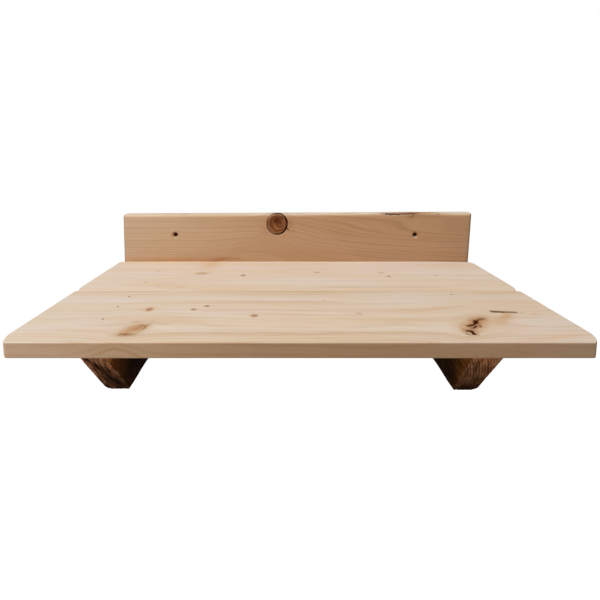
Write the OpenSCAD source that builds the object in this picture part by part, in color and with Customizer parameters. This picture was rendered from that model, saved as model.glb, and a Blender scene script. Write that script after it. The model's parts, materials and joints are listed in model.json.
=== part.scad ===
// Wall-hung lying shelf for a cat, in solid softwood.
// Two deck planks lie side by side on two rough-sawn bracket beams. The beams butt against a
// back board that stands up behind the deck and is screwed to the wall through two holes.
// Axes: +X to the right seen from the front, +Y towards the wall, +Z up.
// Origin: on the wall plane, midway between the two wall-screw holes.

/* [Deck] */
// Length of both deck planks along the wall
deck_w = 500; // [420:1:700]
// Thickness of both deck planks
deck_t = 14; // [12:0.5:22]
// Width of the front plank, front to back
front_plank_d = 150.2; // [120:0.1:180]
// Width of the rear plank, front to back
rear_plank_d = 149.5; // [120:0.1:180]
// Joint left open between the two planks
seam_gap = 0.3; // [0:0.1:2]
// Plan radius of the sweep at the front corners of both planks
sweep_r = 40; // [30:1:60]
// How far back the sweep runs at the left front corner of the front plank
front_left_run = 22; // [5:1:30]
// How far back the sweep runs at the right front corner of the front plank
front_right_run = 25; // [5:1:30]
// How far back the sweep runs at the left front corner of the rear plank
rear_left_run = 17; // [5:1:30]
// How far back the sweep runs at the right front corner of the rear plank
rear_right_run = 20; // [5:1:30]
// Plan radius of the rear corners of the front plank
plank_corner_r = 4; // [1:0.5:10]
// Plan radius of the rear corners of the rear plank
rear_corner_r = 8; // [1:0.5:20]
// Rounding of the long edges of the planks
plank_edge_r = 1.5; // [1:0.25:5]
// Middle of the deck, to the right of the middle of the wall holes
deck_shift_x = 0.5; // [-10:0.5:10]

/* [Back board] */
// How much shorter the back board is than the deck
board_short_by = 7; // [0:1:20]
// Height of the back board
board_h = 155; // [135:1:180]
// Thickness of the back board
board_t = 18; // [12:0.5:28]
// Height of the back board above the deck
board_above_deck = 70; // [50:0.5:80]
// Rounding of the long edges of the back board
board_edge_r = 4; // [1:0.25:5]
// Middle of the back board, to the right of the middle of the wall holes
board_shift_x = 2.5; // [-10:0.5:10]

/* [Wall holes] */
// Distance between the two wall-screw holes
wall_hole_pitch = 340; // [300:1:380]
// Height of the wall-screw holes above the deck
wall_hole_above_deck = 38.5; // [30:0.5:45]
// Diameter of the wall-screw holes
wall_hole_d = 5; // [4:0.5:6]
// Diameter of the countersink at the mouth of each wall-screw hole
wall_sink_d = 10; // [8:0.5:12]

/* [Brackets] */
// Thickness of each bracket beam
bracket_w = 24; // [18:1:40]
// Height of each bracket beam
bracket_h = 71; // [50:0.5:80]
// How far the top front edge of the beams stands behind the front edge of the deck
bracket_setback = 17; // [10:1:40]
// Angle of the sawn front end, measured from the horizontal
bracket_cut_angle = 45; // [40:1:60]
// Middle of the left beam, in from the left end of the deck
left_bracket_inset = 67; // [50:0.5:90]
// Middle of the right beam, in from the right end of the deck
right_bracket_inset = 82; // [50:0.5:90]
// Width of the wane that is missing from the lower outer edge of each beam
wane_w = 5.5; // [2:0.5:8]
// Height of the same wane
wane_h = 4.5; // [2:0.5:8]

/* [Nails] */
// Diameter of the nail shanks
nail_d = 1.8; // [1.4:0.1:2.4]
// Diameter of the nail heads
nail_head_d = 2.4; // [2.2:0.1:3.6]
// Height of the nail heads
nail_head_h = 1; // [0.8:0.1:1.4]
// Length of the nails
nail_length = 45; // [35:1:50]
// Length of the nail points
nail_point = 4; // [3:0.5:5]
// How far the heads are punched below the deck
nail_set = 0.5; // [0.2:0.1:1]

/* [Bracket screws] */
// Length of the screws that hold the back board to the beams
screw_length = 70; // [60:1:90]
// Shank diameter of these screws
screw_d = 3.2; // [2.8:0.1:3.6]
// Diameter over the thread
screw_thread_d = 4.5; // [4:0.1:5]
// Diameter of the thread root
screw_root_d = 2.9; // [2.6:0.1:3.2]
// Rise of the thread ridges from one to the next
screw_pitch = 2.5; // [2:0.1:4]
// Diameter of the countersunk head
screw_head_d = 8.8; // [8:0.1:10]
// Length of the threaded stretch with its point
screw_thread_l = 40; // [30:1:50]
// Width of the cross slots in the head
cross_slot_w = 1.2; // [0.8:0.1:1.6]
// Length of the cross slots in the head
cross_slot_l = 4.6; // [3.5:0.1:5.5]
// Depth of the cross slots in the head
cross_slot_deep = 1.8; // [1:0.1:2.2]
// Depth of the upper screw of each beam below the underside of the deck
screw_upper_below = 18; // [12:1:25]
// Depth of the lower screw of each beam below the underside of the deck
screw_lower_below = 48; // [35:1:55]
// How far these screws stand to the left of the middle of their beams, beside the nails
screw_beside = 4; // [3.5:0.25:5]

/* [Fits] */
// Room round a nail or screw in its hole, on each side
hole_room = 0.05; // [0.02:0.01:0.2]

/* [Hidden] */
$fn = 64;

// Overrun of every cutting solid past the face that it cuts
cut_over = nail_d / 2;

// Heights and depths that follow from the driving sizes
deck_top = -wall_hole_above_deck;
deck_low = deck_top - deck_t;
board_top = deck_top + board_above_deck;
board_low = board_top - board_h;
deck_rear = -board_t;
deck_d = front_plank_d + seam_gap + rear_plank_d;
deck_front = deck_rear - deck_d;
bracket_low = deck_low - bracket_h;
bracket_front = deck_front + bracket_setback;
bracket_run = bracket_h / tan(bracket_cut_angle);
board_w = deck_w - board_short_by;
left_bracket_x = deck_shift_x - deck_w / 2 + left_bracket_inset;
right_bracket_x = deck_shift_x + deck_w / 2 - right_bracket_inset;
left_screw_x = left_bracket_x - screw_beside;
right_screw_x = right_bracket_x - screw_beside;

// Each nail as its place across the beam, in shares of the beam's width from its middle, its plank
// (0 is the front one, 1 the rear one), and its distance from that plank's front edge, in shares of
// the plank's depth. The rows are a little uneven, because the nails were set by hand.
left_nail_places_share = [
    [0, 0, 0.379],
    [0.04, 0, 0.625],
    [0.04, 0, 0.853],
    [0.09, 1, 0.251],
    [0.11, 1, 0.620]
];
right_nail_places_share = [
    [-0.22, 0, 0.344],
    [0, 0, 0.911],
    [0.31, 1, 0.468],
    [0.03, 1, 0.843]
];

// Outline with rounded corners in the plane, centred on x and starting at y = 0.
// near_r rounds the two corners at y = 0, far_r the two at y = d.
module rounded_outline(w, d, near_r, far_r) {
    difference() {
        translate([-w / 2, 0])
            square([w, d]);
        for (side = [-1, 1]) {
            translate([side * w / 2, 0])
                corner_waste(near_r, -side, 1);
            translate([side * w / 2, d])
                corner_waste(far_r, -side, -1);
        }
    }
}

// What the sweep takes off a front corner: it starts along the end of the plank, at run from its
// front edge, and meets the front edge at an angle. in_x, -1 or 1, points into the outline.
module sweep_waste(run, in_x) {
    difference() {
        translate([in_x * (sweep_r - cut_over) / 2, (run - cut_over) / 2])
            square([sweep_r + cut_over, run + cut_over], center = true);
        translate([in_x * sweep_r, run])
            circle(r = sweep_r);
    }
}

// What a rounding takes off a corner. in_x and in_y, each -1 or 1, point into the outline.
module corner_waste(r, in_x, in_y) {
    difference() {
        translate([in_x * (r - cut_over) / 2, in_y * (r - cut_over) / 2])
            square(r + cut_over, center = true);
        translate([in_x * r, in_y * r])
            circle(r = r);
    }
}

// Board with its long edges eased: x centred, y from 0 to d, z from 0 to h
module eased_board(w, d, h, edge_r) {
    translate([-w / 2, d / 2, 0])
        rotate([90, 0, 90])
            linear_extrude(height = w)
                rounded_outline(d, h, edge_r, edge_r);
}

// One deck plank: swept back at its two front corners, rounded by rear_r at its two rear corners
module plank(d, left_run, right_run, rear_r) {
    difference() {
        eased_board(deck_w, d, deck_t, plank_edge_r);
        translate([0, 0, -cut_over])
            linear_extrude(height = deck_t + 2 * cut_over) {
                translate([-deck_w / 2, 0])
                    sweep_waste(left_run, 1);
                translate([deck_w / 2, 0])
                    sweep_waste(right_run, -1);
                for (side = [-1, 1])
                    translate([side * deck_w / 2, d])
                        corner_waste(rear_r, -side, -1);
            }
    }
}

// One wall-screw hole, bored through the back board with its countersink at the front
module wall_hole(x) {
    translate([x, 0, 0])
        rotate([90, 0, 0]) {
            translate([0, 0, -cut_over])
                cylinder(d = wall_hole_d, h = board_t + 2 * cut_over);
            translate([0, 0, board_t - (wall_sink_d - wall_hole_d) / 2])
                cylinder(d1 = wall_hole_d, d2 = wall_sink_d, h = (wall_sink_d - wall_hole_d) / 2);
            translate([0, 0, board_t])
                cylinder(d = wall_sink_d, h = cut_over);
        }
}

// Solid of one nail with its head at z = 0, grown by the room on each side
module nail_form(room) {
    translate([0, 0, -nail_head_h])
        cylinder(d = nail_head_d + 2 * room, h = nail_head_h);
    translate([0, 0, -nail_length + nail_point])
        cylinder(d = nail_d + 2 * room, h = nail_length - nail_point - nail_head_h);
    translate([0, 0, -nail_length])
        cylinder(d1 = 2 * room, d2 = nail_d + 2 * room, h = nail_point);
}

// Place of one nail, with its head below the deck's top
module at_nail(beam_x, place_share) {
    on_rear = place_share[1];
    plank_front = deck_front + on_rear * (front_plank_d + seam_gap);
    plank_d = on_rear * rear_plank_d + (1 - on_rear) * front_plank_d;
    translate([
        beam_x + place_share[0] * bracket_w,
        plank_front + place_share[2] * plank_d,
        deck_top - nail_set
    ])
        children();
}

// Holes of every nail of both beams, open above the heads
module nail_holes() {
    for (place = left_nail_places_share)
        at_nail(left_bracket_x, place)
            one_nail_hole();
    for (place = right_nail_places_share)
        at_nail(right_bracket_x, place)
            one_nail_hole();
}

module one_nail_hole() {
    nail_form(hole_room);
    cylinder(d = nail_head_d + 2 * hole_room, h = nail_set + cut_over);
}

// Outline of one screw in the plane: x is the radius, y runs from the point to the head at 0
module screw_outline() {
    head_h = (screw_head_d - screw_d) / 2;
    ridge_count = floor((screw_thread_l - screw_thread_d) / screw_pitch);
    polygon(concat(
        [[0, 0], [screw_head_d / 2, 0], [screw_d / 2, -head_h],
         [screw_d / 2, -screw_length + screw_thread_l]],
        [for (i = [0 : ridge_count - 1])
            let (y = -screw_length + screw_thread_l - i * screw_pitch)
            for (corner = [
                [screw_root_d / 2, y - screw_pitch * 0.2],
                [screw_root_d / 2, y - screw_pitch * 0.5],
                [screw_thread_d / 2, y - screw_pitch * 0.7]
            ]) corner],
        [[screw_root_d / 2, -screw_length + screw_thread_d], [0, -screw_length]]
    ));
}

// One screw along +Y with its head in the wall plane
module bracket_screw(x, below) {
    color("silver")
        translate([x, 0, deck_low - below])
            rotate([-90, 0, 0])
                difference() {
                    rotate_extrude()
                        screw_outline();
                    for (turn = [0, 90])
                        rotate([0, 0, turn])
                            translate([0, 0, -cross_slot_deep / 2 + cut_over / 2])
                                cube([cross_slot_l, cross_slot_w, cross_slot_deep + cut_over], center = true);
                }
}

// Hole of one bracket screw: countersink at the back, clearance through the board, pilot in the beam
module bracket_screw_hole(x, below) {
    head_h = (screw_head_d - screw_d) / 2;
    translate([x, 0, deck_low - below])
        rotate([-90, 0, 0]) {
            translate([0, 0, -head_h])
                cylinder(d1 = screw_d + 2 * hole_room, d2 = screw_head_d + 2 * hole_room, h = head_h);
            cylinder(d = screw_head_d + 2 * hole_room, h = cut_over);
            translate([0, 0, -screw_length - hole_room])
                cylinder(d = screw_thread_d + 2 * hole_room, h = screw_length);
        }
}

module bracket_screw_holes() {
    for (x = [left_screw_x, right_screw_x])
        for (below = [screw_upper_below, screw_lower_below])
            bracket_screw_hole(x, below);
}

// Back board, standing behind the deck against the wall
module back_board() {
    color("tan")
        difference() {
            translate([board_shift_x, -board_t, board_low])
                eased_board(board_w, board_t, board_h, board_edge_r);
            for (side = [-1, 1])
                wall_hole(side * wall_hole_pitch / 2);
            bracket_screw_holes();
        }
}

// Front deck plank, its two front corners swept back
module front_plank() {
    color("burlywood")
        difference() {
            translate([deck_shift_x, deck_front, deck_low])
                plank(front_plank_d, front_left_run, front_right_run, plank_corner_r);
            nail_holes();
        }
}

// Rear deck plank, between the front plank and the back board
module rear_plank() {
    color("burlywood")
        difference() {
            translate([deck_shift_x, deck_rear - rear_plank_d, deck_low])
                plank(rear_plank_d, rear_left_run, rear_right_run, rear_corner_r);
            nail_holes();
        }
}

// Bracket beam with its sloping front end. outer is -1 or 1: the side that has the wane.
module bracket(x, outer) {
    color("saddlebrown")
        difference() {
            translate([x - bracket_w / 2, 0, 0])
                rotate([90, 0, 90])
                    linear_extrude(height = bracket_w)
                        polygon([
                            [bracket_front, deck_low],
                            [deck_rear, deck_low],
                            [deck_rear, bracket_low],
                            [bracket_front + bracket_run, bracket_low]
                        ]);
            wane(x, outer);
            nail_holes();
            bracket_screw_holes();
        }
}

// Cutter for the missing lower outer edge of a beam
module wane(x, outer) {
    edge_x = x + outer * bracket_w / 2;
    translate([0, deck_rear + cut_over, 0])
        rotate([90, 0, 0])
            linear_extrude(height = deck_d + 2 * cut_over)
                polygon([
                    [edge_x - outer * wane_w, bracket_low],
                    [edge_x, bracket_low + wane_h],
                    [edge_x + outer * cut_over, bracket_low + wane_h],
                    [edge_x + outer * cut_over, bracket_low - cut_over],
                    [edge_x - outer * wane_w, bracket_low - cut_over]
                ]);
}

// One nail, punched just below the deck
module nail(beam_x, place_share) {
    color("dimgray")
        at_nail(beam_x, place_share)
            nail_form(0);
}

back_board();
front_plank();
rear_plank();
bracket(left_bracket_x, -1);  // left_bracket
bracket(right_bracket_x, 1);  // right_bracket
for (i = [0 : len(left_nail_places_share) - 1])
    nail(left_bracket_x, left_nail_places_share[i]);
for (i = [0 : len(right_nail_places_share) - 1])
    nail(right_bracket_x, right_nail_places_share[i]);
bracket_screw(left_screw_x, screw_upper_below);  // left_bracket_screw_upper
bracket_screw(left_screw_x, screw_lower_below);  // left_bracket_screw_lower
bracket_screw(right_screw_x, screw_upper_below);  // right_bracket_screw_upper
bracket_screw(right_screw_x, screw_lower_below);  // right_bracket_screw_lower
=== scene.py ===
import itertools
import json
import math

import bpy
import numpy as np
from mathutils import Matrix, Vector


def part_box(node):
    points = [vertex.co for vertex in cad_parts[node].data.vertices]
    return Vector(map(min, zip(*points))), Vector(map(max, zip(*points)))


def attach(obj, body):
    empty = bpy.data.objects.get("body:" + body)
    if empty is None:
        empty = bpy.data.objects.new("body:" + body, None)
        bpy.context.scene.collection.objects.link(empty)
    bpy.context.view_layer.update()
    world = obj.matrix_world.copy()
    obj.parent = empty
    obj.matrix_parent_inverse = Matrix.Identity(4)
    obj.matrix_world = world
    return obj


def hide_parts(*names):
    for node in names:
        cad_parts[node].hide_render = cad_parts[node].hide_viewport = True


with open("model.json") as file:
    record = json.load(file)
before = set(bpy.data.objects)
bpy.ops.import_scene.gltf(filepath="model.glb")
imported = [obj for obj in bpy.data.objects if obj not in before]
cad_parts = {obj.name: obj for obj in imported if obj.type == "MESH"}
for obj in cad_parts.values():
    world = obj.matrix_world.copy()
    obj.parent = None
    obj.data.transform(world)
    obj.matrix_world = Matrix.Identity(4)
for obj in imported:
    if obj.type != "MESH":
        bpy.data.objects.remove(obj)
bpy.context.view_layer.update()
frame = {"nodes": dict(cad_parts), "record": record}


# Camera: stands in front of the shelf, 15 cm above the deck, and looks a little down.
# Its optical middle lies above and left of the picture's middle, which the two shifts give.
def linked(name, data):
    """An object in the scene."""
    made = bpy.data.objects.new(name, data)
    bpy.context.scene.collection.objects.link(made)
    return made


picture_px, focal_px, middle_px = 600, 488.1, (288.2, 209.5)
left_by, before_by, above_by, look_down = 0.01065, 0.3832, 0.1533, 6.58
camera_data = bpy.data.cameras.new("camera")
camera = linked("camera", camera_data)
deck_near, deck_far = (Vector(corner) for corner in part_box("front_plank"))
camera.location = ((deck_near.x + deck_far.x) / 2 - left_by, deck_near.y - before_by, deck_far.z + above_by)
camera.rotation_euler = (math.radians(90 - look_down), 0, 0)
camera_data.sensor_width = 36
camera_data.lens = 36 * focal_px / picture_px
camera_data.shift_x = (picture_px / 2 - middle_px[0]) / picture_px
camera_data.shift_y = (middle_px[1] - picture_px / 2) / picture_px
camera_data.clip_start = 0.02
camera_data.dof.use_dof = False
bpy.context.scene.camera = camera


# Daylight room: a soft window high up on the left, a weaker one low at the left, and even light
# from all round. The pale floor lies far below the shelf and keeps its faint shadow.
bpy.context.scene.view_settings.view_transform = "Standard"


class Wire:
    """A shader socket in its node tree. Wires and plain numbers are added, multiplied and so on."""
    __add__ = lambda one, other: maths("ADD", one, other)
    __sub__ = lambda one, other: maths("SUBTRACT", one, other)
    __rsub__ = lambda one, other: maths("SUBTRACT", other, one)
    __mul__ = lambda one, other: maths("MULTIPLY", one, other)
    __truediv__ = lambda one, other: maths("DIVIDE", one, other)
    __rtruediv__ = lambda one, other: maths("DIVIDE", other, one)

    def __init__(self, tree, socket):
        self.tree, self.socket = tree, socket


def add_node(tree, kind, inputs=(), **settings):
    """A shader node with its settings, its inputs wired or set to plain values. Returns its outputs."""
    node = tree.nodes.new(kind)
    for name, value in settings.items():
        setattr(node, name, value)
    for name, value in dict(inputs).items():
        if isinstance(value, Wire):
            tree.links.new(value.socket, node.inputs[name])
        else:
            node.inputs[name].default_value = value
    return {key: Wire(tree, socket) for number, socket in enumerate(node.outputs)
            for key in (number, socket.name)}


def tree_of(*values):
    """The node tree of the first wire among these values."""
    return next(value.tree for value in values if isinstance(value, Wire))


def maths(operation, *values):
    """One sum on wires and plain numbers."""
    return add_node(tree_of(*values), "ShaderNodeMath", enumerate(values), operation=operation)[0]


def seen_ray(tree):
    """1 for what the camera sees, straight, in a gloss or through a clear thing, and 0 for light."""
    path = add_node(tree, "ShaderNodeLightPath")
    straight = maths("MAXIMUM", path["Is Camera Ray"], path["Is Glossy Ray"])
    return maths("MAXIMUM", straight, path["Is Transmission Ray"])


def soft_window(name, place, size, watts, colour):
    """A square area light that shines at the deck."""
    data = bpy.data.lights.new(name, "AREA")
    data.size, data.energy, data.color = size, watts, colour
    lamp = linked(name, data)
    lamp.location = place
    direction = Vector((0, -0.15, -0.04)) - Vector(place)
    lamp.rotation_euler = direction.to_track_quat("-Z", "Y").to_euler()


def empty_material(name):
    """A material without nodes, and its node tree."""
    material = bpy.data.materials.new(name)
    material.use_nodes = True
    material.node_tree.nodes.clear()
    return material, material.node_tree


soft_window("window_high", (-0.12, -0.45, 1.45), 1.1, 17.2, (1, 0.985, 0.96))
soft_window("window_left", (-1.05, -0.85, 0.15), 0.5, 5.2, (1, 0.98, 0.95))

room = bpy.data.worlds.new("room")
bpy.context.scene.world = room
room.use_nodes = True
tree = room.node_tree
tree.nodes.clear()
light = add_node(tree, "ShaderNodeBackground", {"Color": (0.93, 0.96, 1, 1), "Strength": 0.29})[0]
seen = add_node(tree, "ShaderNodeBackground", {"Color": (1, 1, 1, 1), "Strength": 1})[0]
both = add_node(tree, "ShaderNodeMixShader", {0: seen_ray(tree), 1: light, 2: seen})[0]
add_node(tree, "ShaderNodeOutputWorld", {"Surface": both})

floor_sides, floor_r, floor_y, floor_z = 96, 1.5, -0.17, -0.75
turn = np.linspace(0, 2 * math.pi, floor_sides + 1)[:-1]
floor_mesh = bpy.data.meshes.new("floor")
floor_mesh.from_pydata([(floor_r * math.cos(a), floor_r * math.sin(a) + floor_y, floor_z) for a in turn], [],
                       [tuple(range(floor_sides))])
floor = linked("floor", floor_mesh)
floor_paint, tree = empty_material("floor_white")
matt = add_node(tree, "ShaderNodeBsdfDiffuse", {"Color": (0.8, 0.79, 0.78, 1)})[0]
lift = add_node(tree, "ShaderNodeEmission", {"Color": (1, 1, 1, 1), "Strength": seen_ray(tree) * 0.7})[0]
both = add_node(tree, "ShaderNodeAddShader", {0: matt, 1: lift})[0]
add_node(tree, "ShaderNodeOutputMaterial", {"Surface": both})
floor_mesh.materials.append(floor_paint)


# Back board: a planed softwood board that stands behind the deck and is screwed to the wall.
# It has a dead knot with a bark ring at its top edge, bark left on the top edge farther right,
# two countersunk wall holes, and four screw holes for the beams, sunk in from the back.
def corners(node):
    """Lowest and highest corner of a node, in millimetres."""
    low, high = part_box(node)
    return np.array(low) * 1000, np.array(high) * 1000


def lattice_lines(low, high, step, windows=()):
    """Grid lines from low to high, with a closer step in each (from, to, step) window and at both ends."""
    close = [0, 0.2, 0.45, 0.75, 1.1, 1.5, 2, 2.6, 3.4, 4.3, 5.3]
    edge, inside = close[-1], 5.7
    lines = np.arange(low + edge + step, high - edge - step / 2, step)
    for start, end, fine in windows:
        lines = lines[(lines < start - fine) | (lines > end + fine)]
        lines = np.append(lines, np.arange(max(start, low + inside), min(end, high - inside), fine))
    lines = np.concatenate([lines, [low + c for c in close], [high - c for c in close]])
    return np.unique(np.round(lines, 4))


def box_skin(xs, ys, zs):
    """Points and quads of the skin of a box on these grid lines, faces outward."""
    number = np.full((len(xs), len(ys), len(zs)), -1)
    skin = np.ones(number.shape, bool)
    skin[1:-1, 1:-1, 1:-1] = False
    number[skin] = np.arange(skin.sum())
    points = np.stack(np.meshgrid(xs, ys, zs, indexing="ij"), -1)[skin]
    quads = []
    for axis, end in itertools.product(range(3), (0, -1)):
        side = np.take(number, end, axis)
        quad = np.stack([side[:-1, :-1], side[1:, :-1], side[1:, 1:], side[:-1, 1:]], -1).reshape(-1, 4)
        quads.append(quad[:, ::-1] if (axis == 1) == (end == -1) else quad)
    return points, np.concatenate(quads).tolist()


def eased(points, low, high, edge_r, corner_r):
    """Rounds a box skin: edge_r on the edges of the two big faces, corner_r[i][j] at the plan corners."""
    middle, half = (low + high) / 2, (high - low) / 2
    out = points - middle
    side = np.sign(out[:, :2])
    inset = half[:2] - np.abs(out[:, :2])
    near = inset.min(1)
    rise = out[:, 2]
    in_out = np.clip(edge_r - near, 0, None)
    in_rise = np.clip(np.abs(rise) - (half[2] - edge_r), 0, None)
    reach = np.hypot(in_out, in_rise)
    share = np.where((in_out > 0) & (in_rise > 0), edge_r / np.maximum(reach, 1e-9), 1)
    new_near = np.where(near < edge_r, edge_r - in_out * share, near)
    new_rise = np.sign(rise) * (np.abs(rise) - in_rise + in_rise * share)
    inset = np.maximum(inset, new_near[:, None])
    inset = np.where(inset - near[:, None] < 1e-9, new_near[:, None], inset)
    flat = side * (half[:2] - inset)
    for i, j in itertools.product((0, 1), (0, 1)):
        turn = np.array([2 * i - 1, 2 * j - 1])
        centre = half[:2] - corner_r[i][j]
        arm = flat * turn - centre
        here = (arm > 0).all(1)
        longest = arm[here].max(1)
        arm[here] *= (longest / np.hypot(*arm[here].T))[:, None]
        flat[here] = (centre + arm[here]) * turn
    return np.column_stack([flat, new_rise]) + middle


def rounded_block(node, steps, windows, edge_r, corner_r, order=(0, 1, 2)):
    """Skin of a node's box: grid steps and windows along x, y and z, rounded with the axes in this order."""
    low, high = corners(node)
    points, quads = box_skin(*(lattice_lines(*row) for row in zip(low, high, steps, windows)))
    order = list(order)
    return eased(points[:, order], low[order], high[order], edge_r, corner_r)[:, order], quads


def soft_noise(points, lump, seed):
    """Smooth seeded noise from -1 to 1, with lumps of the given lengths along x, y and z."""
    table = np.random.default_rng(seed).uniform(-1, 1, (32, 32, 32))
    cell = points / np.array(lump, float)
    base = np.floor(cell).astype(int)
    part = cell - base
    part = part * part * (3 - 2 * part)
    total = np.zeros(len(points))
    for corner in itertools.product((0, 1), repeat=3):
        weight = np.prod(np.where(corner, part, 1 - part), 1)
        total += weight * table[tuple(((base + corner) % 32).T)]
    return total


def fade(value, full, none):
    """1 at full, 0 at none, and a smooth step between them."""
    t = np.clip((value - none) / (full - none), 0, 1)
    return t * t * (3 - 2 * t)


def turned(profile, place, axis, sides=40):
    """Points and faces of a closed turned body: (radius, height) pairs along an axis, ends on the axis."""
    turn = np.linspace(0, 2 * math.pi, sides + 1)[:-1]
    radius, height = np.array(profile, float).T
    rings = [np.column_stack([r * np.cos(turn), r * np.sin(turn), np.full(sides, h)])
             for r, h in zip(radius[1:-1], height[1:-1])]
    points = np.concatenate([[[0, 0, height[0]]], *rings, [[0, 0, height[-1]]]])
    last = len(rings) - 1
    ring = lambda k, s: 1 + k * sides + s % sides
    faces = [(0, ring(0, s + 1), ring(0, s)) for s in range(sides)]
    faces += [(ring(k, s), ring(k, s + 1), ring(k + 1, s + 1), ring(k + 1, s))
              for k in range(last) for s in range(sides)]
    faces += [(ring(last, s), ring(last, s + 1), len(points) - 1) for s in range(sides)]
    aim = np.array(Vector(axis).to_track_quat("Z", "Y").to_matrix())
    return points @ aim.T + np.array(place), faces


def hole(steps, place, axis, sides=40):
    """The turned body that cuts a hole: (radius, height) pairs, closed flat at both ends."""
    return turned([(0, steps[0][1]), *steps, (0, steps[-1][1])], place, axis, sides)


def solid_object(name, points, faces):
    """A mesh object from points in millimetres."""
    mesh = bpy.data.meshes.new(name)
    mesh.from_pydata((points / 1000).tolist(), [], faces)
    return linked(name, mesh)


def bored(piece, cutters):
    """Cuts bodies out of a piece, and leaves a plain mesh."""
    points, faces = [], []
    for body_points, body_faces in cutters:
        shift = sum(len(p) for p in points)
        points.append(body_points)
        faces += [tuple(i + shift for i in face) for face in body_faces]
    tool = solid_object("bores", np.concatenate(points), faces)
    cut = piece.modifiers.new("bores", "BOOLEAN")
    cut.object, cut.operation, cut.solver = tool, "DIFFERENCE", "MANIFOLD"
    bpy.context.view_layer.update()
    whole = bpy.data.meshes.new_from_object(piece.evaluated_get(bpy.context.evaluated_depsgraph_get()))
    piece.modifiers.clear()
    piece.data = whole
    bpy.data.objects.remove(tool)


def finished(piece, material, node, sharp=35):
    """Smooth shading with crisp arrises, the material, and the piece's place in the shelf."""
    piece.data.shade_smooth()
    piece.data.set_sharp_from_angle(angle=math.radians(sharp))
    piece.data.materials.clear()
    piece.data.materials.append(material)
    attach(piece, "root")
    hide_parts(node)


def mesh_points(piece):
    """The mesh points of a piece in millimetres."""
    flat = np.zeros(len(piece.data.vertices) * 3, np.float32)
    piece.data.vertices.foreach_get("co", flat)
    return flat.reshape(-1, 3).astype(float) * 1000


def mark(piece, name, values):
    """Keeps one number for each mesh point, for the material to read."""
    layer = piece.data.attributes.new(name, "FLOAT", "POINT")
    layer.data.foreach_set("value", np.asarray(values, np.float32))


def paint(piece, flat, spots, base=1):
    """Keeps a tint for each mesh point: soft (centre, half sizes, turn, strength, tint) spots on a base."""
    tint = np.ones((len(flat), 4)) * np.reshape(base, (-1, 1))
    for at, half, turn, strength, shade in spots:
        a, off = math.radians(turn), flat - np.array(at)
        u = (off[:, 0] * math.cos(a) + off[:, 1] * math.sin(a)) / half[0]
        v = (off[:, 1] * math.cos(a) - off[:, 0] * math.sin(a)) / half[1]
        tint[:, :3] *= 1 - (strength * np.exp(-u * u - v * v))[:, None] * (1 - np.array(shade))
    layer = piece.data.attributes.new("tint", "FLOAT_COLOR", "POINT")
    layer.data.foreach_set("color", tint.astype(np.float32).ravel())


def stroke_marks(flat, strokes):
    """How deep (mm) and how strongly (0 to 1) points lie in (x0, y0, x1, y1, half width, depth) strokes."""
    deep, strong = np.zeros(len(flat)), np.zeros(len(flat))
    for x0, y0, x1, y1, width, depth in strokes:
        start, run = np.array([x0, y0]), np.array([x1 - x0, y1 - y0])
        along = np.clip(((flat - start) @ run) / max(run @ run, 1e-9), 0, 1)
        away = np.hypot(*(flat - start - along[:, None] * run).T)
        strength = fade(away, width * 0.35, width)
        deep = np.maximum(deep, depth * strength)
        strong = np.maximum(strong, strength * min(1, 1.6 * depth))
    return deep, strong


def shader_group(*outputs, **inputs):
    """Builds a function on wires into a shader node group, once. Its first input is a place on the wood.
    The function that is left puts the group to work at a place, and returns its outputs."""
    def build(wiring):
        group = bpy.data.node_groups.new(wiring.__name__, "ShaderNodeTree")
        kinds = {False: "NodeSocketFloat", True: "NodeSocketVector"}
        for name, value in {"place": nowhere, **inputs}.items():
            kind = kinds[isinstance(value, tuple)]
            group.interface.new_socket(titled(name), in_out="INPUT", socket_type=kind).default_value = value
        for name in outputs:
            group.interface.new_socket(name, in_out="OUTPUT", socket_type=kinds[name == "Place"])
        given = add_node(group, "NodeGroupInput")
        results = wiring(*(given[number] for number in range(len(inputs) + 1)))
        add_node(group, "NodeGroupOutput", zip(outputs, results))
        return lambda place, **settings: add_node(
            place.tree, "ShaderNodeGroup",
            {"Place": place, **{titled(name): value for name, value in settings.items()}}, node_tree=group)
    return build


def titled(name):
    """The socket name of a setting: half_width is Half Width."""
    return name.replace("_", " ").title()


def times_plus(value, factor, more):
    """value * factor + more, in one node."""
    return maths("MULTIPLY_ADD", value, factor, more)


def step_between(value, start, end, low=0, high=1):
    """A smooth step of a wire from low at start to high at end."""
    inputs = {"Value": value, "From Min": start, "From Max": end, "To Min": low, "To Max": high}
    return add_node(value.tree, "ShaderNodeMapRange", inputs, interpolation_type="SMOOTHSTEP")[0]


def parts_of(vector):
    """The three numbers of a place."""
    parts = add_node(vector.tree, "ShaderNodeSeparateXYZ", {0: vector})
    return [parts[number] for number in range(3)]


def vector_of(*parts):
    """A place from three numbers."""
    return add_node(tree_of(*parts), "ShaderNodeCombineXYZ", enumerate(parts))[0]


def apart(one, other):
    """The way from the second place to the first."""
    return add_node(one.tree, "ShaderNodeVectorMath", {0: one, 1: other}, operation="SUBTRACT")[0]


def noise_of(vector, detail=2, rough=0.5):
    """Cloudy noise from 0 to 1."""
    inputs = {"Vector": vector, "Scale": 1, "Detail": detail, "Roughness": rough}
    return add_node(vector.tree, "ShaderNodeTexNoise", inputs)[0]


def lumps_of(vector, lumps, seed, detail=2, rough=0.5):
    """Noise with lumps of the given lengths, moved on by a seed."""
    parts = [times_plus(part, 1 / lump, seed) for part, lump in zip(parts_of(vector), lumps)]
    return noise_of(vector_of(*parts), detail, rough)


def mixed(factor, a, b, how="MIX"):
    """Two colours mixed by a mask."""
    inputs = {0: factor, 6: a, 7: b}
    return add_node(tree_of(factor, a, b), "ShaderNodeMix", inputs, data_type="RGBA", blend_type=how)[2]


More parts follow.
